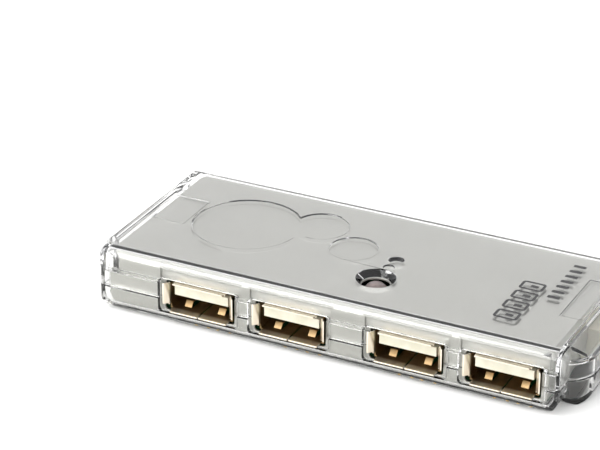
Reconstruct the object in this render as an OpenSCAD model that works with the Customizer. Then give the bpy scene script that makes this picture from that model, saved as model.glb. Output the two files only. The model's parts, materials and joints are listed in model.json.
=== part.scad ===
// Slim four-socket data hub: clear covers over silver trays, four sockets along the front,
// an upstream socket in the left end and a power jack in the right end.
// Origin: centre of the underside. +X right, -Y out of the front sockets, +Z up. Millimetres.

/* [Case] */
// Overall length, over the rounded ends
case_l = 98; // [97.6:0.2:100]
// Overall depth, front to back
case_d = 40; // [39.6:0.2:41]
// Overall height
case_h = 12.5; // [12.4:0.1:13.5]
// Length of the full-depth middle of the case
middle_l = 91.4; // [91:0.2:92]
// Height at which the two covers part
split_z = 4.9; // [4.7:0.1:5.1]
// Height of the step between the upright lip and the wall above it
lip_z = 8.75; // [8.7:0.05:9]
// How far the upper wall stands back from the lip
lip_step = 0.5; // [0.4:0.1:0.6]
// Radius of the upper long edges
shoulder_r = 2.4; // [2.2:0.1:2.6]
// Radius of the lower edges of the ends of the middle
keel_end_r = 3.6; // [3.2:0.1:3.8]
// Radius of the lower edges
keel_r = 2.2; // [2:0.1:2.4]
// How far the end lobes stand back from the front and back faces
lobe_inset = 4.3; // [4:0.1:4.5]
// Corner radius of the end lobes in plan
lobe_r = 6; // [5.5:0.5:6.5]
// Radius of the upright corners of the middle
corner_r = 1; // [0.8:0.1:1.2]
// Radius of the upper edge of the ends
end_r = 5.2; // [4.8:0.1:5.4]
// How far the lobes lie below the roof
lobe_drop = 0.4; // [0.3:0.1:0.5]

/* [Walls] */
// Thickness of the clear covers
wall = 1; // [0.9:0.1:1]
// Thickness of the clear roof over the upper tray
roof = 1.2; // [1.1:0.1:1.3]
// Thickness of the silver trays
tray_wall = 0.4; // [0.3:0.1:0.4]
// Length of the silver trays
tray_l = 87.2; // [86.8:0.2:87.6]

/* [Front sockets] */
// Distance between the sockets of a pair
pair_pitch = 18.5; // [18.3:0.1:18.7]
// Distance between the two middle sockets
middle_pitch = 23; // [22.6:0.2:23.4]
// Middle of the row of sockets, right of the centre of the case
row_x = 5; // [4.6:0.1:5.2]
// How deep the socket flanges stand behind the front face
flange_depth = 1.1; // [1:0.1:1.2]
// Width of a socket mouth
mouth_w = 12.5; // [12.4:0.05:12.6]
// Height of a socket mouth
mouth_h = 5.12; // [5.1:0.01:5.15]

/* [Ends] */
// Distance of the two end sockets behind the centre line
end_y = 1.9; // [1.5:0.1:2.3]

/* [Hidden] */
$fn = 48;
gap = 0.05;
air = 0.1;
groove_h = 0.3;
groove_d = 0.6;
sheet = 0.3;

board_z = wall + air + tray_wall + gap;
board_t = 0.85;
board_l = 86;
board_d = 34;
board_top = board_z + board_t;

mouth_z = board_top + sheet;
flange_y = -case_d / 2 + flange_depth;
socket_len = 13.8;
flare = 0.9;
flare_side = 0.75;
flare_up = 0.3;
flare_down = 0.15;
window_w = mouth_w + 3.8;
window_low = mouth_z - 0.5;
window_high = lip_z + 0.1;
tray_window_w = mouth_w + 2 * sheet + 1.3;
tray_window_low = mouth_z - sheet - 0.1;
brow_low = mouth_z + mouth_h + sheet + 0.08;
brow_high = 10.3;
brow_depth = 0.5;
window_r = 0.7;
socket_x = [row_x - middle_pitch / 2 - pair_pitch, row_x - middle_pitch / 2,
            row_x + middle_pitch / 2, row_x + middle_pitch / 2 + pair_pitch];

tongue_t = 1.84;
tongue_w = 11.1;
tongue_y = 0.7;
tongue_z = 2.7;
block_y = 9.5;
block_len = 3.6;
pin_w = 1;
pin_t = 0.25;
pin_x = [-3.5, -1, 1, 3.5];
leg_y = 10.1;
leg_len = 5.2;
finger_x = 3.45;
finger_w = 1.5;

mini_w = 7.7;
mini_h = 3.9;
mini_len = 9.2;
mini_x = -case_l / 2 + 1.5;
mini_wall = 0.35;

jack_w = 6.6;
jack_h = 5.4;
jack_len = 9.6;
jack_x = case_l / 2 - 1.5;
jack_bore = 3.7;
jack_z = board_top + jack_h / 2 + gap;

light_x = 5.5;
light_y = -8.1;
light_r = 2.4;
well_r = 3.8;
well_neck = 2.7;

peg_r = 1.1;
peg_at = [[-40, -14], [-40, 14], [(socket_x[2] + socket_x[3]) / 2, -13], [40, 14]];

relief = 0.2;
bevel = 0.12;
pocket = 0.3;

// ---------- outlines shared by the covers and the trays ----------

// A rectangle standing on the X axis whose two upper corners are rounded
module round_topped(w, h, r) {
    translate([-w / 2, 0]) square([w, h - r]);
    translate([-w / 2 + r, 0]) square([w - 2 * r, h]);
    for (side = [-1, 1]) translate([side * (w / 2 - r), h - r]) circle(r);
}

// A cross-section of the case, w wide and h high: lip, step and rounded top over a rounded keel,
// all drawn in from the outside by skin
module stepped_outline(w, h, top_r, skin) {
    translate([-w / 2, split_z - 1]) square([w, lip_z - skin - split_z + 1]);
    translate([0, split_z - 1]) round_topped(w - 2 * lip_step, h - split_z + 1, top_r);
    translate([0, split_z]) mirror([0, 1]) round_topped(w, split_z - skin, keel_r - skin);
}

module middle_outline(skin, lid) {
    stepped_outline(case_d - 2 * skin, case_h - lid, shoulder_r - skin, skin);
}

// The middle from the front: square above, rounded under the ends
module keeled_outline(w, skin) {
    translate([-w / 2, split_z - 1]) square([w, case_h]);
    translate([0, split_z]) mirror([0, 1]) round_topped(w, split_z - skin, keel_end_r - skin);
}

module rounded_plan(l, d, r) {
    square([l - 2 * r, d], center = true);
    square([l, d - 2 * r], center = true);
    for (x = [-1, 1], y = [-1, 1]) translate([x * (l / 2 - r), y * (d / 2 - r)]) circle(r);
}

module lobe_plan(skin) {
    rounded_plan(case_l - 2 * skin, case_d - 2 * lobe_inset - 2 * skin, lobe_r - skin);
}

module along_x(l) {
    translate([-l / 2, 0, 0]) rotate([90, 0, 90]) linear_extrude(l) children();
}

module along_y(d) {
    translate([0, d / 2, 0]) rotate([90, 0, 0]) linear_extrude(d) children();
}

// The two lobes and what joins them through the middle
module lobes(skin, lid) {
    top = case_h - lobe_drop - lid;
    intersection() {
        union() {
            linear_extrude(lip_z - skin) lobe_plan(skin);
            linear_extrude(case_h) lobe_plan(skin + lip_step);
        }
        along_x(case_l + 2)
            stepped_outline(case_d - 2 * lobe_inset - 2 * skin, top, shoulder_r - skin, skin);
        along_y(case_d) stepped_outline(case_l - 2 * skin, top, end_r - skin, skin);
    }
}

// The case as a solid, drawn in by skin all round and by lid under the roof
module case_solid(skin, lid) {
    intersection() {
        along_x(middle_l) middle_outline(skin, lid);
        along_y(case_d) keeled_outline(middle_l - 2 * skin, skin);
        linear_extrude(case_h)
            rounded_plan(middle_l - 2 * skin, case_d - 2 * skin, max(corner_r - skin, 0.1));
    }
    lobes(skin, lid);
}

module slab(z0, z1) {
    translate([-case_l, -case_d, z0]) cube([2 * case_l, 2 * case_d, z1 - z0]);
}

// A window in the front at each socket, w wide, between two heights
module front_windows(w, low, high) {
    for (x = socket_x)
        translate([x, -case_d / 2 + 4, (low + high) / 2])
            rotate([90, 0, 0])
            linear_extrude(5)
            rounded_plan(w, high - low, min(window_r, (high - low) / 2.1));
}

module cover_windows() {
    front_windows(window_w, window_low, window_high);
}

module tray_windows() {
    front_windows(tray_window_w, tray_window_low, brow_low + 0.2);
}

// The openings for the two end sockets
module end_windows() {
    translate([-case_l / 2 - 1, end_y - mini_w / 2 - 0.6, board_top - 0.4])
        cube([5.5, mini_w + 1.2, mini_h + 1.1]);
    translate([case_l / 2 - 4.5, end_y - jack_w / 2 - 0.5, board_z - 0.1])
        cube([5.5, jack_w + 1, jack_h + 1.6]);
}

// ---------- covers and trays ----------

// A shallow round with a sloping edge, sunk in the roof
module bubble(x, y, r) {
    translate([x, y, case_h - relief])
        cylinder(h = 2 * relief, r1 = r - bevel, r2 = r + bevel);
}

// The chain of rounds that rises from the light
module bubbles() {
    bubble(-25.5, 1.2, 10.4);
    bubble(-12.6, 6.6, 5.4);
    bubble(-3.2, 0.9, 4.7);
    bubble(5.8, -3.2, 1.1);
}

// The well over the light, the dimple behind it and the pockets under the roof at the ends
module roof_pockets() {
    translate([light_x, light_y, case_h - roof - gap])
        cylinder(h = roof + 2 * gap, r1 = well_neck, r2 = well_r);
    translate([5.9, -0.1, case_h - 0.6]) cylinder(h = 0.65, r1 = 0.8, r2 = 1.9);
    translate([-43.7, -3.5, case_h - roof - gap]) cube([7, 10.6, pocket + gap]);
    translate([40.1, -5.7, case_h - roof - gap]) cube([4.2, 15.2, pocket + gap]);
}

module top_cover() {
    color([0.92, 0.94, 0.94, 0.4])
    difference() {
        intersection() {
            case_solid(0, 0);
            slab(split_z + groove_h / 2, case_h + 1);
        }
        case_solid(wall, roof);
        cover_windows();
        end_windows();
        bubbles();
        roof_pockets();
    }
}

// The upper rim of the lower cover is stepped in, which leaves the dark groove round the case
module bottom_cover() {
    color([0.92, 0.94, 0.94, 0.4])
    difference() {
        union() {
            intersection() {
                case_solid(0, 0);
                slab(-1, split_z - groove_h / 2);
            }
            intersection() {
                case_solid(groove_d, roof);
                slab(split_z - groove_h, split_z + groove_h / 2);
            }
        }
        case_solid(wall, roof);
        cover_windows();
        end_windows();
    }
}

// Both trays in one piece, before they are parted
module tray_shell() {
    skin = wall + air;
    lid = roof + air;
    difference() {
        intersection() {
            along_x(tray_l) middle_outline(skin, lid);
            along_y(case_d) keeled_outline(tray_l, skin);
            union() {
                slab(-1, lip_z - skin);
                linear_extrude(case_h) rounded_plan(tray_l, case_d - 2 * skin - 2 * lip_step, 2.8);
            }
        }
        intersection() {
            along_x(tray_l - 2 * tray_wall) middle_outline(skin + tray_wall, lid + tray_wall);
            along_y(case_d) keeled_outline(tray_l - 2 * tray_wall, skin + tray_wall);
        }
    }
}

// The set-back strip of tray wall over a socket
module brow(x) {
    back = -case_d / 2 + lip_step + wall + air;
    translate([x - window_w / 2 - tray_wall, back + brow_depth, brow_low])
        cube([window_w + 2 * tray_wall, tray_wall, brow_high - brow_low + tray_wall]);
    translate([x - window_w / 2 - tray_wall, back + gap, brow_high])
        cube([window_w + 2 * tray_wall, brow_depth + tray_wall - gap, tray_wall]);
    for (side = [-1, 1])
        translate([x + side * (window_w + tray_wall) / 2 - tray_wall / 2, back + gap, brow_low])
            cube([tray_wall, brow_depth + tray_wall - gap, brow_high - brow_low + tray_wall]);
}

// Room in the tray ends for the two end sockets
module tray_end_notches() {
    translate([-tray_l / 2 - 1, end_y - mini_w / 2 - 0.4, board_top])
        cube([6, mini_w + 0.8, mini_h + 0.4]);
    translate([tray_l / 2 - 5, end_y - jack_w / 2 - 0.4, board_top])
        cube([6, jack_w + 0.8, jack_h + 0.5]);
}

module top_tray() {
    color([0.76, 0.76, 0.74]) {
        difference() {
            intersection() {
                tray_shell();
                slab(split_z + gap, case_h);
            }
            tray_windows();
            for (x = socket_x)
                translate([x - window_w / 2, -case_d / 2, brow_low])
                    cube([window_w, 4, brow_high - brow_low]);
            tray_end_notches();
            translate([light_x, light_y, case_h - 4]) cylinder(h = 6, r = well_neck);
        }
        for (x = socket_x) brow(x);
        for (at = peg_at) translate([at[0], at[1], board_top + gap]) difference() {
            cylinder(h = case_h - roof - air - tray_wall - board_top, r = peg_r + 1);
            translate([0, 0, -1]) cylinder(h = 7.6, r = peg_r + 0.1);
        }
    }
}

module bottom_tray() {
    color([0.76, 0.76, 0.74]) {
        difference() {
            intersection() {
                tray_shell();
                slab(-1, split_z - gap);
            }
            tray_windows();
            tray_end_notches();
        }
        for (at = peg_at) translate([at[0], at[1], wall + air + tray_wall / 2])
            cylinder(h = 6, r = peg_r);
    }
}

// ---------- board ----------

module circuit_board() {
    color([0.09, 0.32, 0.18])
    difference() {
        translate([-board_l / 2, -board_d / 2, board_z]) cube([board_l, board_d, board_t]);
        for (at = peg_at) translate([at[0], at[1], board_z - 1]) cylinder(h = 4, r = peg_r + 0.2);
        for (x = socket_x, p = pin_x)
            translate([x + p, flange_y + leg_y + pin_t / 2, board_z - 1]) cylinder(h = 4, r = 0.7);
    }
}

// ---------- front sockets: drawn at the middle of the mouth's lower edge, +Y into the hub ----------

module at_socket(i) {
    translate([socket_x[i], flange_y, mouth_z]) children();
}

// A finger bent out of the sheet that presses on the plug, rising by rise above its face
module shell_finger(x, z, rise) {
    up = sign(rise);
    translate([x - finger_w / 2, 0, z])
    rotate([90, 0, 90])
    linear_extrude(finger_w)
    polygon([[1.5, 0], [1.85, 0], [2.75, rise], [4, rise], [7.4, up * -0.05],
             [7.4, up * -0.3], [3.95, rise - up * 0.25], [2.9, rise - up * 0.25],
             [2, up * -0.25], [1.5, up * -0.25]]);
}

// Cross-section of a lip at the mouth, bent outwards by out, drawn for the side towards +X
module lip_outline(out) {
    polygon([[0, 0.4], [0, 0], [out, -flare], [out + sheet, -flare], [sheet, 0], [sheet, 0.4]]);
}

module socket_shell() {
    color([0.8, 0.78, 0.72]) {
        difference() {
            translate([-mouth_w / 2 - sheet, 0, -sheet])
                cube([mouth_w + 2 * sheet, socket_len, mouth_h + 2 * sheet]);
            translate([-mouth_w / 2, -1, 0]) cube([mouth_w, socket_len + 2, mouth_h]);
            translate([-0.15, -1, -1]) cube([0.3, socket_len + 2, 1]);
            translate([-mouth_w / 2 + 0.6, block_y, -1]) cube([mouth_w - 1.2, 6, 1]);
            for (side = [-1, 1]) {
                translate([side * (mouth_w / 2 - 0.2) - 0.7, -1, mouth_h - 0.2]) cube([1.4, 2.6, 1]);
                translate([side * (mouth_w / 2 + 0.1) - 0.4, -1, -0.6]) cube([0.8, 1.8, 1.4]);
                for (z = [-1, mouth_h - 0.1])
                    translate([side * finger_x - finger_w / 2 - 0.1, 1.8, z])
                        cube([finger_w + 0.2, 6, 1.1]);
            }
        }
        for (side = [-1, 1]) {
            shell_finger(side * finger_x, 0, 1);
            shell_finger(side * finger_x, mouth_h, -0.5);
        }
        for (side = [0, 1]) mirror([side, 0, 0])
            translate([mouth_w / 2, 0, 1.1]) linear_extrude(4.2) lip_outline(flare_side);
        translate([1.1 - mouth_w / 2, 0, mouth_h]) rotate([90, 0, 90])
            linear_extrude(mouth_w - 2.2) mirror([1, 0]) rotate(90) lip_outline(flare_up);
        for (side = [0, 1]) mirror([side, 0, 0]) translate([0.15, 0, 0]) rotate([90, 0, 90])
            linear_extrude(mouth_w / 2 - 0.55) rotate(-90) lip_outline(flare_down);
    }
}

module socket_insulator() {
    color([0.9, 0.9, 0.84])
    difference() {
        union() {
            translate([-tongue_w / 2, tongue_y, tongue_z]) cube([tongue_w, block_y, tongue_t]);
            translate([-mouth_w / 2 + gap, block_y, gap])
                cube([mouth_w - 2 * gap, block_len, mouth_h - 2 * gap]);
        }
        for (x = pin_x)
            translate([x - pin_w / 2 - 0.1, leg_y - 0.7, -1])
                cube([pin_w + 0.2, pin_t + 0.8, tongue_z + 1]);
    }
}

module socket_contacts() {
    color([0.83, 0.68, 0.32])
    for (x = pin_x) translate([x - pin_w / 2, 0, 0]) {
        translate([0, abs(x) > 2 ? 1.4 : 2.4, tongue_z - pin_t])
            cube([pin_w, leg_y - (abs(x) > 2 ? 1.4 : 2.4), pin_t]);
        translate([pin_w / 4, leg_y - pin_t, tongue_z - leg_len])
            cube([pin_w / 2, pin_t, leg_len - pin_t]);
    }
}

// ---------- upstream socket, in the left end ----------

// Drawn at the middle of its lower face, +X into the hub
module at_upstream() {
    translate([mini_x, end_y, board_top]) children();
}

module upstream_outline(inset) {
    w = mini_w / 2 - inset;
    polygon([[-w, mini_h - inset], [w, mini_h - inset], [w, 1.6], [w - 0.9, inset],
             [-w + 0.9, inset], [-w, 1.6]]);
}

module upstream_shell() {
    color([0.8, 0.79, 0.76])
    at_upstream()
    difference() {
        rotate([90, 0, 90]) linear_extrude(mini_len) upstream_outline(0);
        translate([-1, 0, 0]) rotate([90, 0, 90])
            linear_extrude(mini_len + 2) upstream_outline(mini_wall);
    }
}

module upstream_insulator() {
    color([0.12, 0.12, 0.13])
    at_upstream() {
        translate([5.6, 0, 0]) rotate([90, 0, 90])
            linear_extrude(3.4) upstream_outline(mini_wall + gap);
        translate([1, -1.9, 2.35]) cube([4.6, 3.8, 0.7]);
    }
}

module upstream_contacts() {
    color([0.83, 0.68, 0.32])
    at_upstream()
    for (n = [-2:2])
        translate([1.4, n * 0.8 - 0.2, 2.2]) cube([4.2, 0.4, 0.15]);
}

// ---------- power jack, in the right end ----------

// Drawn at the middle of the bore's mouth, -X into the hub
module at_jack() {
    translate([jack_x, end_y, jack_z]) rotate([0, -90, 0]) children();
}

module power_jack_housing() {
    color([0.9, 0.9, 0.84])
    at_jack()
    difference() {
        translate([-jack_h / 2, -jack_w / 2, 0]) cube([jack_h, jack_w, jack_len]);
        translate([0, 0, -1]) cylinder(h = 8.6, r = jack_bore / 2);
        translate([0, 0, 7]) cylinder(h = 4, r = 1);
        translate([-0.8, jack_bore / 2 - 0.4, 3]) cube([1.6, 1, 4.4]);
    }
}

module power_jack_pin() {
    color([0.8, 0.79, 0.76])
    at_jack() {
        translate([0, 0, 1.2]) cylinder(h = 6.5, r = 0.65);
        translate([0, 0, 7.65]) cylinder(h = 2.1, r = 0.95);
        translate([0, 0, 9.65]) cylinder(h = 0.4, r = 1.4);
    }
}

module power_jack_spring() {
    color([0.83, 0.68, 0.32])
    at_jack()
    translate([-0.6, jack_bore / 2, 3.2]) cube([1.2, 0.2, 4]);
}

// ---------- parts on the board ----------

module on_board(x, y) {
    translate([x, y, board_top]) children();
}

module status_led() {
    color([0.93, 0.72, 0.72])
    on_board(light_x, light_y) {
        cylinder(h = 6.9, r = light_r);
        translate([0, 0, 6.9]) sphere(light_r);
        cylinder(h = 0.9, r = light_r + 0.3);
    }
}

module hub_controller() {
    color([0.11, 0.11, 0.12])
    on_board(-8, 7) {
        translate([-3.5, -3.5, 0.1]) cube([7, 7, 1.4]);
        for (turn = [0:90:270]) rotate(turn)
            for (n = [-5:5]) translate([3.5, n * 0.6 - 0.12, 0]) cube([1, 0.24, 0.25]);
    }
}

module clock_crystal() {
    color([0.78, 0.78, 0.78])
    on_board(4.5, 9) {
        for (y = [-3.2, 3.2]) translate([0, y, 0]) cylinder(h = 3.4, r = 2.2);
        translate([-2.2, -3.2, 0]) cube([4.4, 6.4, 3.4]);
    }
}

module voltage_regulator() {
    color([0.11, 0.11, 0.12])
    on_board(28, 7) {
        translate([-3.2, -1.7, 0.1]) cube([6.4, 3.4, 1.5]);
        for (x = [-2.3, 0, 2.3]) translate([x - 0.4, -3.3, 0]) cube([0.8, 1.6, 0.3]);
        translate([-1.5, 1.7, 0]) cube([3, 1.6, 0.3]);
    }
}

module electrolytic_capacitors() {
    color([0.72, 0.73, 0.76])
    for (x = [-24, 17]) on_board(x, 9) {
        translate([-2.6, -2.6, 0]) cube([5.2, 5.2, 0.8]);
        translate([0, 0, 0.8]) cylinder(h = 5, r = 2.5);
    }
}

module ceramic_capacitors() {
    color([0.72, 0.62, 0.48])
    for (at = [[-15, 11], [-15, 3], [-1, 12], [-1, 4], [23, 12], [34, 11], [-31, 10]])
        on_board(at[0], at[1]) translate([-1, -0.6, 0]) cube([2, 1.2, 1]);
}

module chip_resistors() {
    color([0.15, 0.15, 0.16])
    for (x = socket_x, side = [-1, 1])
        on_board(x + side * 1.5, 0) translate([-0.4, -0.8, 0]) cube([0.8, 1.6, 0.5]);
}

module port_fuses() {
    color([0.2, 0.5, 0.3])
    for (x = socket_x) on_board(x + 5, 0) translate([-0.8, -1.6, 0]) cube([1.6, 3.2, 0.8]);
}

top_cover();
bottom_cover();
top_tray();
bottom_tray();
circuit_board();
at_socket(0) socket_shell();  // socket_1_shell
at_socket(1) socket_shell();  // socket_2_shell
at_socket(2) socket_shell();  // socket_3_shell
at_socket(3) socket_shell();  // socket_4_shell
at_socket(0) socket_insulator();  // socket_1_insulator
at_socket(1) socket_insulator();  // socket_2_insulator
at_socket(2) socket_insulator();  // socket_3_insulator
at_socket(3) socket_insulator();  // socket_4_insulator
at_socket(0) socket_contacts();  // socket_1_contacts
at_socket(1) socket_contacts();  // socket_2_contacts
at_socket(2) socket_contacts();  // socket_3_contacts
at_socket(3) socket_contacts();  // socket_4_contacts
upstream_shell();
upstream_insulator();
upstream_contacts();
power_jack_housing();
power_jack_pin();
power_jack_spring();
status_led();
hub_controller();
clock_crystal();
voltage_regulator();
electrolytic_capacitors();
ceramic_capacitors();
chip_resistors();
port_fuses();
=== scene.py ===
import json
import math

import bpy
from mathutils import Matrix, Vector

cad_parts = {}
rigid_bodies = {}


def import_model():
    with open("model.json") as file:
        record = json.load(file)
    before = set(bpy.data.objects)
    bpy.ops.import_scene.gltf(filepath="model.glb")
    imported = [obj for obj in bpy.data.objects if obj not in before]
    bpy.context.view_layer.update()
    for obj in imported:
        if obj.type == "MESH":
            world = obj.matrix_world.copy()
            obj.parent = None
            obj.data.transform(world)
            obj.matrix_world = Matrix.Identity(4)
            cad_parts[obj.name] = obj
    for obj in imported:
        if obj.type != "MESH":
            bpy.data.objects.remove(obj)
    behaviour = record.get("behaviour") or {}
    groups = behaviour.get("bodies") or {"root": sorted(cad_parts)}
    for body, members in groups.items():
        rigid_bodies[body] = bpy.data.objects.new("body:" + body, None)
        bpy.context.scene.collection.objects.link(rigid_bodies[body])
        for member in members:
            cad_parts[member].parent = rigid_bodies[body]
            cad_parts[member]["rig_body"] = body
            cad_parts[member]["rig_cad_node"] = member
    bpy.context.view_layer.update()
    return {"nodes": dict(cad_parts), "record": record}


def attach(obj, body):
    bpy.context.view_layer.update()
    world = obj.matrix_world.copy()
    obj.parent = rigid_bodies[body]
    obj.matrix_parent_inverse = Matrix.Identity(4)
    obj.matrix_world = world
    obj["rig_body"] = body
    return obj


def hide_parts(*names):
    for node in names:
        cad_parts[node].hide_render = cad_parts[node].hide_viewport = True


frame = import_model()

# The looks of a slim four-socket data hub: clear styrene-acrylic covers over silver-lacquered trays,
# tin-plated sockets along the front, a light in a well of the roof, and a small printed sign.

MM = 0.001

# The roof of the clear cover, its three large sunk rounds (x, y, radius) and how their rims are softened. mm
ROOF_Z = 12.5
ROOF_DISCS = ((-25.5, 1.2, 10.4), (-12.6, 6.6, 5.4), (-3.2, 0.9, 4.7))
RIM_WIDTH = 0.2
RIM_FINDER = 0.02
ROOF_FINDER = 0.005
CUSP_ROOM = 0.6

# Rounding of the moulded and stamped edges. mm and degrees
COVER_EDGE = 0.12
TRAY_EDGE = 0.1
SHEET_EDGE = 0.06
TONGUE_EDGE = 0.08
EDGE_SEGMENTS = 3
ROUND_ABOVE = 40
SMOOTH_BELOW = 25
MERGE_WITHIN = 0.001
FLAT_WITHIN = 0.3

# A Mix node's colours by number, because its sockets of other kinds have the same names.
MIX_FIRST = 6
MIX_SECOND = 7
MIX_RESULT = 2

# The sockets' tin is pale up to the first place behind the lip, and from the second it is painted a darker
# brown, as shade deep inside the socket. mm
LIP_FROM_Y = -18.7
LIP_TO_Y = -18.1

# The printed sign: its height and thickness, its two columns, and the spacing of their marks. mm
PRINT_Z = 12.475
PRINT_THICK = 0.02
OUTLINES_X = 32.0
OUTLINES_Y = -10.3
OUTLINE_STEP = 4
OUTLINE_LINE = 0.55
TONGUE_SHIFT = 0.4
TICKS_X = 36.9
TICKS_Y = -0.6
TICK_STEP = 2.2

# The light's middle, and the heights of its blades' feet and of its cup. mm
LIGHT_AT = (5.5, -8.1)
BLADE_FOOT = 2.6
CUP_Z = 8.3

# The camera: its direction and roll in degrees, its lens, and its place from the point aimed at. mm
CAMERA_AZIMUTH = 26.46
CAMERA_ELEVATION = 26.21
CAMERA_ROLL = 0.12
CAMERA_LENS = 155.9
CAMERA_SENSOR = 36
CAMERA_AIM = (4.75, -18.9, 4.7)
CAMERA_BACK = 464.3
CAMERA_RIGHT = -8.2
CAMERA_UP = 20.7

# The studio: the sky's strength, the floor's side in metres, and the soft boxes as name, spot and size
# in metres, and watts.
SKY_STRENGTH = 1.18
FLOOR_SIDE = 6
SOFT_BOXES = (
    ("overhead_box", (-0.25, 0.3, 0.7), (0.7, 0.5), 1),
    ("front_box", (-0.34, -0.4, 0.6), (0.5, 0.45), 3),
    ("low_front_box", (-0.25, -0.7, 0.3), (0.5, 0.3), 2.4),
)


# ---------- small tools ----------


def deselect_all():
    bpy.ops.object.select_all(action="DESELECT")


def only(piece):
    """piece is the one selected and active object."""
    deselect_all()
    piece.select_set(True)
    bpy.context.view_layer.objects.active = piece


def linear(value):
    return value / 12.92 if value <= 0.04045 else ((value + 0.055) / 1.055) ** 2.4


def colour(hex_value):
    """An sRGB hex value such as c8c9c4 as Blender's linear colour."""
    parts = [int(hex_value[i : i + 2], 16) / 255 for i in (0, 2, 4)]
    return (*[linear(p) for p in parts], 1.0)


def add_node(material, kind, settings=(), links=()):
    """Adds one node. settings are names or input sockets with values, and links are pairs of an input
    socket and the output that feeds it."""
    node = material.node_tree.nodes.new(kind)
    for name, value in dict(settings).items():
        if hasattr(node, name):
            setattr(node, name, value)
        else:
            node.inputs[name].default_value = value
    for socket, source in links:
        material.node_tree.links.new(node.inputs[socket], source)
    return node


def new_material(name, surface):
    """A material whose shader has the values in surface, with that shader and its Object coordinates."""
    material = bpy.data.materials.new(name)
    material.use_nodes = True
    shader = material.node_tree.nodes["Principled BSDF"]
    for socket, value in surface.items():
        shader.inputs[socket].default_value = value
    place = add_node(material, "ShaderNodeTexCoord").outputs["Object"]
    return material, shader, place


def join(material, source, shader, socket):
    material.node_tree.links.new(shader.inputs[socket], source)


def per_metre(size_mm):
    """The texture scale that makes a pattern's grain size_mm across."""
    return 1 / (size_mm * MM)


def grain(material, place, size_mm, detail=3.0, stretch=(1, 1, 1)):
    """Noise with grains size_mm across, stretched along an axis by less than 1."""
    mapping = add_node(material, "ShaderNodeMapping", {"Scale": stretch}, [("Vector", place)])
    noise = add_node(
        material,
        "ShaderNodeTexNoise",
        {"Scale": per_metre(size_mm), "Detail": detail},
        [("Vector", mapping.outputs["Vector"])],
    )
    return noise.outputs["Fac"]


def span(material, source, low, high, start=0.35, end=0.65):
    """source from start to end becomes low to high."""
    node = add_node(
        material,
        "ShaderNodeMapRange",
        {"From Min": start, "From Max": end, "To Min": low, "To Max": high},
        [("Value", source)],
    )
    return node.outputs["Result"]


def between(material, source, first, second):
    """The colours first to second, by source."""
    node = add_node(material, "ShaderNodeMix", {"data_type": "RGBA"})
    material.node_tree.links.new(node.inputs["Factor"], source)
    node.inputs[MIX_FIRST].default_value = colour(first)
    node.inputs[MIX_SECOND].default_value = colour(second)
    return node.outputs[MIX_RESULT]


def relief(material, shader, source, depth_mm):
    """source raises the surface by up to depth_mm."""
    bump = add_node(
        material,
        "ShaderNodeBump",
        {"Strength": 1.0, "Distance": depth_mm * MM},
        [("Height", source)],
    )
    join(material, bump.outputs["Normal"], shader, "Normal")


# ---------- materials ----------


def clear_styrene_acrylic():
    # Clear styrene-acrylic, moulded in a polished tool: colourless, glassy, with a very slow waviness
    # where it cooled, which breaks up the edges of reflections. Its IOR is about 1.55 in fact, and 1.47 here
    # keeps the dark lines along the edges as thin as they look.
    material, shader, place = new_material(
        "clear_moulded_styrene_acrylic",
        {
            "Base Color": colour("fdfdfc"),
            "Transmission Weight": 1.0,
            "IOR": 1.47,
            "Roughness": 0.02,
        },
    )
    slow = grain(material, place, 9, detail=1.0)
    relief(material, shader, slow, 0.03)
    fine = grain(material, place, 1.6, detail=2.0)
    join(material, span(material, fine, 0.012, 0.045), shader, "Roughness")
    return material


def silver_lacquer():
    # ABS sprayed with fine aluminium flake lacquer: satin, even grey, with a faint sparkle
    # (the flake is drawn at 0.12 mm, coarser than the real 0.03 mm, so that it shows).
    material, shader, place = new_material(
        "silver_flake_lacquer",
        {"Metallic": 0.7, "Roughness": 0.4, "Coat Weight": 0.1, "Coat Roughness": 0.3},
    )
    flake = grain(material, place, 0.12, detail=2.0)
    join(material, between(material, span(material, flake, 0, 1), "adada7", "b9b9b3"), shader, "Base Color")
    cloud = grain(material, place, 12, detail=2.0)
    join(material, span(material, cloud, 0.39, 0.46), shader, "Roughness")
    relief(material, shader, flake, 0.004)
    return material


def tin_plate():
    # Phosphor-bronze sheet under bright tin, rolled and stamped: warm silver, with fine rolling lines
    # along the sheet. The flared lip is pale, and further in the colour turns a darker brown: painted shade
    # inside the socket.
    material, shader, place = new_material("tin_plated_bronze_sheet", {"Metallic": 1.0})
    lines = grain(material, place, 0.25, detail=4.0, stretch=(1, 0.06, 1))
    painted_shade_mottle = grain(material, place, 2.2, detail=3.0)
    # The inside colour is painted shade of the deep socket: a darker brown, with a random mottle.
    inside = between(material, span(material, painted_shade_mottle, 0, 1), "927a58", "a38a66")
    depth = add_node(material, "ShaderNodeSeparateXYZ", links=[("Vector", place)]).outputs["Y"]
    # Mask of the painted shade: 0 on the lip, rising to 1 deeper in along Y.
    painted_shade_mask = span(material, depth, 0, 1, start=LIP_FROM_Y * MM, end=LIP_TO_Y * MM)
    feeds = [("Factor", painted_shade_mask), (MIX_SECOND, inside)]
    tone = add_node(material, "ShaderNodeMix", {"data_type": "RGBA"}, feeds)
    tone.inputs[MIX_FIRST].default_value = colour("ece2d0")
    join(material, tone.outputs[MIX_RESULT], shader, "Base Color")
    join(material, span(material, lines, 0.32, 0.42), shader, "Roughness")
    relief(material, shader, lines, 0.001)
    return material


def socket_plastic():
    # Glass-filled PBT, moulded: off-white, slightly warm, dull, with a fine eroded-tool grain.
    material, shader, place = new_material(
        "moulded_ivory_pbt", {"IOR": 1.55, "Subsurface Weight": 0.08, "Subsurface Scale": 0.6 * MM}
    )
    tone = grain(material, place, 2.5, detail=3.0)
    join(material, between(material, span(material, tone, 0, 1), "c9c6b2", "d6d3c2"), shader, "Base Color")
    pits = grain(material, place, 0.15, detail=3.0)
    join(material, span(material, pits, 0.42, 0.55), shader, "Roughness")
    relief(material, shader, pits, 0.006)
    return material


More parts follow.
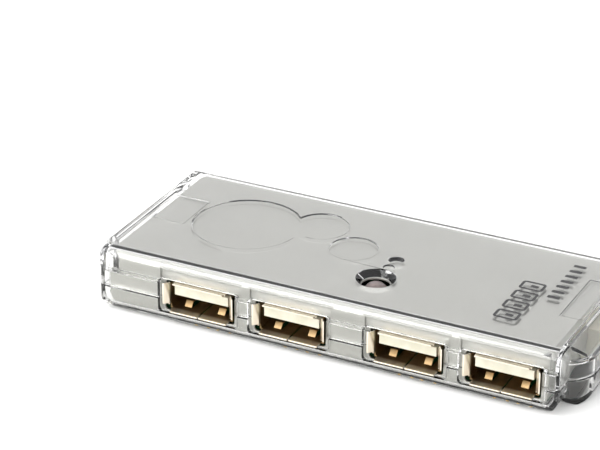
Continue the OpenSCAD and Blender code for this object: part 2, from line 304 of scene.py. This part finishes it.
def gold_flash():
    # Contact springs with a thin flash of gold over nickel, drawn smooth along their length.
    material, shader, place = new_material("gold_flashed_contact", {"Metallic": 1.0})
    lines = grain(material, place, 0.12, detail=3.0, stretch=(1, 0.1, 1))
    join(material, between(material, span(material, lines, 0, 1), "d9a94a", "e8c370"), shader, "Base Color")
    join(material, span(material, lines, 0.2, 0.34), shader, "Roughness")
    return material


def nickel_plate():
    # Nickel-plated sheet and pins: greyish silver, satin, with faint drawing lines.
    material, shader, place = new_material("nickel_plated_steel", {"Metallic": 1.0})
    lines = grain(material, place, 0.2, detail=4.0, stretch=(0.08, 1, 1))
    join(material, between(material, span(material, lines, 0, 1), "bdb9b0", "cfccc4"), shader, "Base Color")
    join(material, span(material, lines, 0.24, 0.38), shader, "Roughness")
    relief(material, shader, lines, 0.003)
    return material


def black_pbt():
    # Black PBT, moulded: near-black, dull, with an eroded-tool grain.
    material, shader, place = new_material("moulded_black_pbt", {"IOR": 1.55})
    pits = grain(material, place, 0.2, detail=4.0)
    join(material, between(material, span(material, pits, 0, 1), "151517", "232326"), shader, "Base Color")
    join(material, span(material, pits, 0.42, 0.6), shader, "Roughness")
    relief(material, shader, pits, 0.01)
    return material


def light_epoxy():
    # Tinted clear casting epoxy with a touch of diffuser: faintly pink, glassy, a little milky.
    material, shader, place = new_material(
        "tinted_casting_epoxy",
        {"Transmission Weight": 0.85, "IOR": 1.54},
    )
    milk = grain(material, place, 0.8, detail=3.0)
    join(material, between(material, span(material, milk, 0, 1), "f6dcd6", "fbe9e5"), shader, "Base Color")
    join(material, span(material, milk, 0.05, 0.12), shader, "Roughness")
    return material


def solder_mask():
    # Fibreglass board under green solder mask: semi-gloss, with the weave showing as a faint checker of
    # tone (its bundles are drawn 1 mm wide, twice the real width, so that they show).
    material, shader, place = new_material(
        "green_solder_mask", {"IOR": 1.5, "Coat Weight": 0.4, "Coat Roughness": 0.15}
    )
    weave = add_node(
        material, "ShaderNodeTexChecker", {"Scale": per_metre(1.0)}, [("Vector", place)]
    ).outputs["Fac"]
    join(material, between(material, weave, "0f4a26", "125430"), shader, "Base Color")
    tone = grain(material, place, 1.5, detail=4.0)
    join(material, span(material, tone, 0.3, 0.45), shader, "Roughness")
    relief(material, shader, tone, 0.02)
    return material


def speckled(name, first, second, metallic, rough, size_mm):
    """A surface of two close tones in grains of size_mm, with roughness from rough[0] to rough[1]."""
    material, shader, place = new_material(name, {"Metallic": metallic})
    spots = grain(material, place, size_mm, detail=4.0)
    join(material, between(material, span(material, spots, 0, 1), first, second), shader, "Base Color")
    join(material, span(material, spots, *rough), shader, "Roughness")
    relief(material, shader, spots, 0.006)
    return material


def printing_ink():
    # Screen-printed vinyl ink: dense dark grey, semi-matt, with the mesh showing at 0.15 mm.
    material, shader, place = new_material("screen_printed_ink", {"Specular IOR Level": 0.15})
    mesh_marks = grain(material, place, 0.15, detail=2.0)
    tone = between(material, span(material, mesh_marks, 0, 1), "161614", "22221f")
    join(material, tone, shader, "Base Color")
    join(material, span(material, mesh_marks, 0.55, 0.7), shader, "Roughness")
    return material


def pale_paper():
    # The floor: matt white paper, with a very faint unevenness.
    material, shader, place = new_material("matt_white_paper", {"Specular IOR Level": 0.2})
    tone = grain(material, place, 60, detail=2.0)
    join(material, between(material, span(material, tone, 0, 1), "eeeeec", "f2f2f0"), shader, "Base Color")
    join(material, span(material, tone, 0.85, 0.95), shader, "Roughness")
    return material


MATERIALS = {
    "clear_plastic": clear_styrene_acrylic(),
    "silver_paint": silver_lacquer(),
    "socket_sheet": tin_plate(),
    "white_plastic": socket_plastic(),
    "gold_plate": gold_flash(),
    "nickel_plate": nickel_plate(),
    "black_plastic": black_pbt(),
    "light_epoxy": light_epoxy(),
    "solder_mask": solder_mask(),
    # Chip bodies: black moulding compound, filled with fine silica.
    "chip_epoxy": speckled("black_moulding_compound", "1b1b1c", "2a2a2b", 0.0, (0.45, 0.62), 0.2),
    # Drawn steel can of the crystal, and the sleeved aluminium cans of the capacitors.
    "can_steel": speckled("drawn_steel_can", "b9b9b6", "cbcbc8", 1.0, (0.25, 0.38), 0.5),
    "can_aluminium": speckled("drawn_aluminium_can", "c9cbcd", "dadcdd", 1.0, (0.28, 0.4), 0.5),
    # Fired ceramic of the small parts: tan for capacitors, black for resistors.
    "tan_ceramic": speckled("fired_tan_ceramic", "94795a", "a88c6b", 0.0, (0.4, 0.55), 0.15),
    "black_ceramic": speckled("fired_black_ceramic", "222223", "2e2e30", 0.0, (0.35, 0.5), 0.15),
    # Coated polymer fuse: matt green.
    "green_fuse": speckled("coated_green_fuse", "2c6b3c", "37804a", 0.0, (0.5, 0.65), 0.2),
}

record_slots = {part["node"]: part["material_slot"] for part in frame["record"]["subparts"]}


def paint(piece, material):
    piece.data.materials.clear()
    piece.data.materials.append(material)


for node, solid in frame["nodes"].items():
    paint(solid, MATERIALS[record_slots[node]])


# ---------- pieces worked up from their CAD solids ----------


def settle_shading(piece):
    """Smooth over rounded edges, flat over the large faces between them."""
    only(piece)
    bpy.ops.object.shade_smooth_by_angle(angle=math.radians(SMOOTH_BELOW))
    weighted = piece.modifiers.new("flat_faces_stay_flat", "WEIGHTED_NORMAL")
    weighted.mode = "FACE_AREA"
    weighted.keep_sharp = True
    bpy.ops.object.modifier_apply(modifier=weighted.name)


def on_one_rim(point):
    """The point is on the upper rim of one disc, and clear of the points where two rims meet."""
    if abs(point.z - ROOF_Z * MM) > ROOF_FINDER * MM:
        return False
    off = [abs(math.dist(point[:2], (x * MM, y * MM)) - radius * MM) for x, y, radius in ROOF_DISCS]
    return min(off) < RIM_FINDER * MM and sorted(off)[1] > CUSP_ROOM * MM


def soften_disc_rims(piece):
    """The upper rims of the sunk rounds in the roof, drawn out into a wide slope. Called in edit mode."""
    bpy.ops.object.mode_set(mode="OBJECT")
    mesh = piece.data
    for item in (*mesh.vertices, *mesh.edges, *mesh.polygons):
        item.select = False
    on_rim = [on_one_rim(vertex.co) for vertex in mesh.vertices]
    for edge in mesh.edges:
        edge.select = all(on_rim[index] for index in edge.vertices)
    bpy.ops.object.mode_set(mode="EDIT")
    bpy.ops.mesh.select_mode(type="EDGE")
    bpy.ops.mesh.bevel(offset=RIM_WIDTH * MM, segments=1, affect="EDGES", clamp_overlap=False)
    bpy.ops.mesh.select_mode(type="VERT")


def edged_copy(node, name, width_mm):
    """A copy of a CAD node with its sharp edges rounded, as moulded and stamped edges are."""
    piece = frame["nodes"][node].copy()
    piece.data = frame["nodes"][node].data.copy()
    piece.name = name
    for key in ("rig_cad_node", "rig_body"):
        if key in piece:
            del piece[key]
    piece.parent = None
    bpy.context.scene.collection.objects.link(piece)
    only(piece)
    bpy.ops.object.mode_set(mode="EDIT")
    bpy.ops.mesh.select_all(action="SELECT")
    bpy.ops.mesh.remove_doubles(threshold=MERGE_WITHIN * MM)
    bpy.ops.mesh.dissolve_limited(angle_limit=math.radians(FLAT_WITHIN))
    bpy.ops.mesh.normals_make_consistent(inside=False)
    if node == "top_cover":
        soften_disc_rims(piece)
    bpy.ops.object.mode_set(mode="OBJECT")
    bevel = piece.modifiers.new("rounded_edges", "BEVEL")
    bevel.width = width_mm * MM
    bevel.segments = EDGE_SEGMENTS
    bevel.limit_method = "ANGLE"
    bevel.angle_limit = math.radians(ROUND_ABOVE)
    bevel.use_clamp_overlap = False
    bpy.ops.object.modifier_apply(modifier=bevel.name)
    settle_shading(piece)
    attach(piece, "root")
    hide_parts(node)


for node, width_mm in (
    ("top_cover", COVER_EDGE),
    ("bottom_cover", COVER_EDGE),
    ("top_tray", TRAY_EDGE),
    ("bottom_tray", TRAY_EDGE),
):
    edged_copy(node, node + "_moulded", width_mm)
for number in (1, 2, 3, 4):
    edged_copy(f"socket_{number}_shell", f"socket_{number}_folded_sheet", SHEET_EDGE)
    edged_copy(f"socket_{number}_insulator", f"socket_{number}_moulded_tongue", TONGUE_EDGE)


# ---------- print on the roof, and the lead frame in the light ----------


def plate(x, y, size_x, size_y, corner_mm, z, thick, rim_mm=0):
    """A thin plate with round corners, or only its rim, with its underside at z. Millimetres."""
    deselect_all()
    bpy.ops.mesh.primitive_plane_add(size=1, location=(x * MM, y * MM, z * MM))
    piece = bpy.context.active_object
    piece.scale = (size_x * MM, size_y * MM, 1)
    bpy.ops.object.transform_apply(location=True, rotation=True, scale=True)
    bpy.ops.object.mode_set(mode="EDIT")
    bpy.ops.mesh.select_all(action="SELECT")
    bpy.ops.mesh.bevel(offset=corner_mm * MM, segments=5, affect="VERTICES")
    if rim_mm:
        bpy.ops.mesh.select_all(action="SELECT")
        bpy.ops.mesh.inset(thickness=rim_mm * MM)
        bpy.ops.mesh.delete(type="FACE")
    bpy.ops.mesh.select_all(action="SELECT")
    bpy.ops.mesh.extrude_region_move(TRANSFORM_OT_translate={"value": (0, 0, thick * MM)})
    bpy.ops.mesh.select_all(action="SELECT")
    bpy.ops.mesh.normals_make_consistent(inside=False)
    bpy.ops.object.mode_set(mode="OBJECT")
    return piece


def joined(pieces, name, material):
    """The pieces as one object, named, painted and smoothed, with its origin at the scene's."""
    deselect_all()
    for piece in pieces:
        piece.select_set(True)
    bpy.context.view_layer.objects.active = pieces[0]
    bpy.ops.object.join()
    piece = bpy.context.active_object
    piece.name = name
    paint(piece, material)
    bpy.ops.object.transform_apply(location=True, rotation=True, scale=True)
    settle_shading(piece)
    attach(piece, "root")


def roof_print():
    """A plain sign: four socket outlines in a row, and a row of ticks beside it."""
    marks = []
    for n in range(4):
        y = OUTLINES_Y + OUTLINE_STEP * n
        marks.append(plate(OUTLINES_X, y, 4.6, 3.2, 0.7, PRINT_Z, PRINT_THICK, rim_mm=OUTLINE_LINE))
        marks.append(plate(OUTLINES_X + TONGUE_SHIFT, y, 1.5, 0.9, 0.2, PRINT_Z, PRINT_THICK))
    for n in range(7):
        marks.append(plate(TICKS_X, TICKS_Y + TICK_STEP * n, 2.4, 0.95, 0.3, PRINT_Z, PRINT_THICK))
    joined(marks, "roof_print", printing_ink())


def light_lead_frame():
    """The two blades of the light: the wide one carries the cup, the narrow one the bond wire's anvil."""
    x, y = LIGHT_AT
    blades = [
        plate(x - 0.55, y, 1.1, 0.5, 0.1, BLADE_FOOT, 5.9),
        plate(x - 0.3, y, 1.9, 1.5, 0.5, CUP_Z, 0.9, rim_mm=0.35),
        plate(x + 1.1, y, 0.6, 0.5, 0.1, BLADE_FOOT, 6.3),
    ]
    joined(blades, "light_lead_frame", MATERIALS["nickel_plate"])


roof_print()
light_lead_frame()


# ---------- stage, light and camera ----------


def look_from(azimuth, elevation, roll):
    """The camera's right, up and back directions, for angles in degrees."""
    a, e, r = (math.radians(v) for v in (azimuth, elevation, roll))
    back = Vector((math.sin(a) * math.cos(e), -math.cos(a) * math.cos(e), math.sin(e)))
    right = Vector((math.cos(a), math.sin(a), 0))
    up = back.cross(right)
    return (
        right * math.cos(r) + up * math.sin(r),
        up * math.cos(r) - right * math.sin(r),
        back,
    )


def make_camera():
    data = bpy.data.cameras.new("camera")
    camera = bpy.data.objects.new("camera", data)
    bpy.context.scene.collection.objects.link(camera)
    data.lens = CAMERA_LENS
    data.sensor_width = CAMERA_SENSOR
    data.clip_start = 0.01
    data.clip_end = 20
    right, up, back = look_from(CAMERA_AZIMUTH, CAMERA_ELEVATION, CAMERA_ROLL)
    aim = Vector(CAMERA_AIM) * MM
    spot = aim + back * CAMERA_BACK * MM + right * CAMERA_RIGHT * MM + up * CAMERA_UP * MM
    turn = Matrix((right, up, back)).transposed()
    camera.matrix_world = Matrix.Translation(spot) @ turn.to_4x4()
    bpy.context.scene.camera = camera


def make_floor():
    deselect_all()
    bpy.ops.mesh.primitive_plane_add(size=FLOOR_SIDE, location=(0, 0, 0))
    floor = bpy.context.active_object
    floor.name = "paper_floor"
    paint(floor, pale_paper())


def soft_box(name, spot, size, watts):
    """A rectangular white soft light at spot, facing the object."""
    data = bpy.data.lights.new(name, "AREA")
    data.shape = "RECTANGLE"
    data.size, data.size_y = size
    data.energy = watts
    lamp = bpy.data.objects.new(name, data)
    lamp.location = spot
    lamp.rotation_euler = (-Vector(spot)).to_track_quat("-Z", "Y").to_euler()
    bpy.context.scene.collection.objects.link(lamp)


def make_light():
    world = bpy.data.worlds.new("studio")
    bpy.context.scene.world = world
    world.use_nodes = True
    sky = world.node_tree.nodes["Background"]
    sky.inputs["Color"].default_value = colour("fdfdff")
    sky.inputs["Strength"].default_value = SKY_STRENGTH
    for box in SOFT_BOXES:
        soft_box(*box)


def set_colour_view():
    view = bpy.context.scene.view_settings
    view.view_transform = "Standard"
    view.look = "None"


make_camera()
make_floor()
make_light()
set_colour_view()
